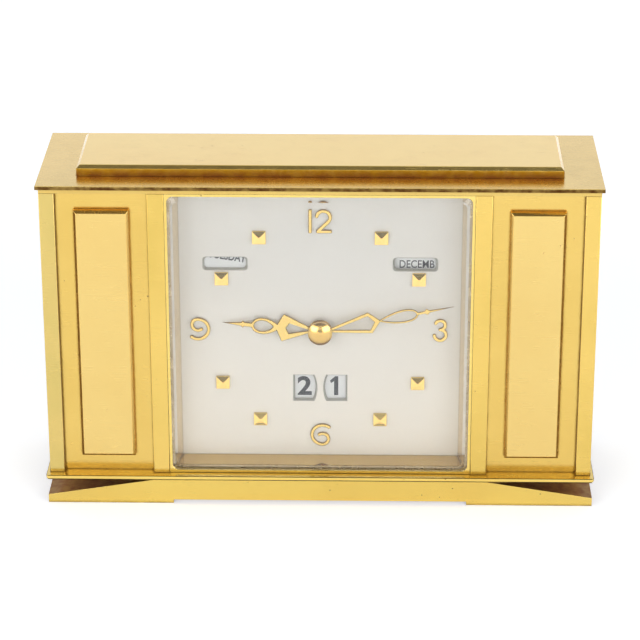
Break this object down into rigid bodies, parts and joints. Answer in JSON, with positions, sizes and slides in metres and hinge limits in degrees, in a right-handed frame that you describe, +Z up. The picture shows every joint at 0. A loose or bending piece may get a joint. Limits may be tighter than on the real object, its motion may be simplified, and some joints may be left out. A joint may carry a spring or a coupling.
{
  "type": "desk clock",
  "caption": "Wide gilt-brass desk clock with a square glazed calendar dial between panelled wings, on a low foot, with a hinged rear door.",
  "frame": {"origin": "middle of the footprint, on the table", "axes": "+X across the front to the viewer's right, -Y towards the viewer, +Z up"},
  "size_m": [0.1844, 0.0556, 0.1182],
  "materials": {
    "gilt_brass": "satin gilt, aged",
    "polished_brass": "polished gilt",
    "movement_brass": "machined",
    "steel": "bright",
    "crystal": "clear, bevelled",
    "dial_silver": "satin silvered",
    "disc_white": "matt white",
    "black_plastic": "matt",
    "cell_jacket": "satin",
    "lead_insulation": "gloss"
  },
  "bodies": {
    "case": {"base_plate": "gilt_brass", "base_screws": "steel", "battery": "cell_jacket", "battery_contacts": "steel", "battery_leads": "lead_insulation", "battery_tray": "black_plastic", "bezel": "gilt_brass", "cap_plate": "gilt_brass", "crystal": "crystal", "dial": "dial_silver", "dial_frame": "polished_brass", "dial_posts": "movement_brass", "door_catch": "steel", "drive_unit": "black_plastic", "foot": "gilt_brass", "frame_screws": "steel", "hinge_pin": "steel", "hour_studs": "polished_brass", "left_front_panel": "gilt_brass", "left_inner_pilaster": "gilt_brass", "left_outer_pilaster": "gilt_brass", "left_raised_panel": "gilt_brass", "left_side_wall": "gilt_brass", "movement_front_plate": "movement_brass", "movement_pillars": "movement_brass", "movement_rear_plate": "movement_brass", "numeral_12": "polished_brass", "numeral_3": "polished_brass", "numeral_6": "polished_brass", "numeral_9": "polished_brass", "plate_screws": "steel", "right_front_panel": "gilt_brass", "right_inner_pilaster": "gilt_brass", "right_outer_pilaster": "gilt_brass", "right_raised_panel": "gilt_brass", "right_side_wall": "gilt_brass", "top_plinth": "gilt_brass", "top_rail": "gilt_brass"},
    "minute_train": {"centre_arbor": "steel", "cannon_pinion": "movement_brass", "minute_hand": "polished_brass", "hand_nut": "polished_brass", "centre_wheel": "movement_brass", "time_knob": "movement_brass"},
    "minute_wheel": {"minute_wheel": "movement_brass"},
    "hour_train": {"hour_wheel": "movement_brass", "hour_hand": "polished_brass"},
    "drive_pinion": {"drive_pinion": "steel"},
    "day_wheel": {"day_wheel": "movement_brass"},
    "date_wheel": {"date_wheel": "movement_brass"},
    "day_calendar": {"day_disc": "disc_white", "day_stem": "movement_brass"},
    "month_calendar": {"month_disc": "disc_white", "month_stem": "movement_brass"},
    "tens_calendar": {"tens_disc": "disc_white", "tens_stem": "movement_brass"},
    "units_calendar": {"units_disc": "disc_white", "units_stem": "movement_brass"},
    "door": {"rear_door": "gilt_brass", "door_knob": "gilt_brass"}
  },
  "joints": [
    {"name": "minute_spin", "type": "hinge", "parent": "case", "child": "minute_train", "pos_m": [0, 0, 0.05975], "axis": [0, 1, 0], "continuous": true},
    {"name": "minute_wheel_spin", "type": "hinge", "parent": "case", "child": "minute_wheel", "pos_m": [0, 0, 0.06935], "axis": [0, 1, 0], "continuous": true},
    {"name": "hour_spin", "type": "hinge", "parent": "case", "child": "hour_train", "pos_m": [0, 0, 0.05975], "axis": [0, 1, 0], "continuous": true},
    {"name": "drive_spin", "type": "hinge", "parent": "case", "child": "drive_pinion", "pos_m": [0.014, 0, 0.05975], "axis": [0, 1, 0], "continuous": true},
    {"name": "day_wheel_spin", "type": "hinge", "parent": "case", "child": "day_wheel", "pos_m": [-0.02304, 0, 0.05975], "axis": [0, 1, 0], "continuous": true},
    {"name": "date_wheel_spin", "type": "hinge", "parent": "case", "child": "date_wheel", "pos_m": [0.02304, 0, 0.05975], "axis": [0, 1, 0], "continuous": true},
    {"name": "day_spin", "type": "hinge", "parent": "case", "child": "day_calendar", "pos_m": [-0.017, 0, 0.0832], "axis": [0, 1, 0], "continuous": true},
    {"name": "month_spin", "type": "hinge", "parent": "case", "child": "month_calendar", "pos_m": [0.017, 0, 0.0832], "axis": [0, 1, 0], "continuous": true},
    {"name": "tens_spin", "type": "hinge", "parent": "case", "child": "tens_calendar", "pos_m": [-0.01405, 0, 0.0383], "axis": [0, 1, 0], "continuous": true},
    {"name": "units_spin", "type": "hinge", "parent": "case", "child": "units_calendar", "pos_m": [0.01905, 0, 0.0383], "axis": [0, 1, 0], "continuous": true},
    {"name": "door_hinge", "type": "hinge", "parent": "case", "child": "door", "pos_m": [-0.0874, 0.0233, 0.0613], "axis": [0, 0, 1], "range_deg": [0, 110]}
  ],
  "couplings": [
    {"joint": "minute_wheel_spin", "follows": "minute_spin", "ratio": -0.33333},
    {"joint": "hour_spin", "follows": "minute_spin", "ratio": 0.083333},
    {"joint": "drive_spin", "follows": "minute_spin", "ratio": -6},
    {"joint": "day_wheel_spin", "follows": "minute_spin", "ratio": -0.041667},
    {"joint": "date_wheel_spin", "follows": "minute_spin", "ratio": -0.041667}
  ]
}
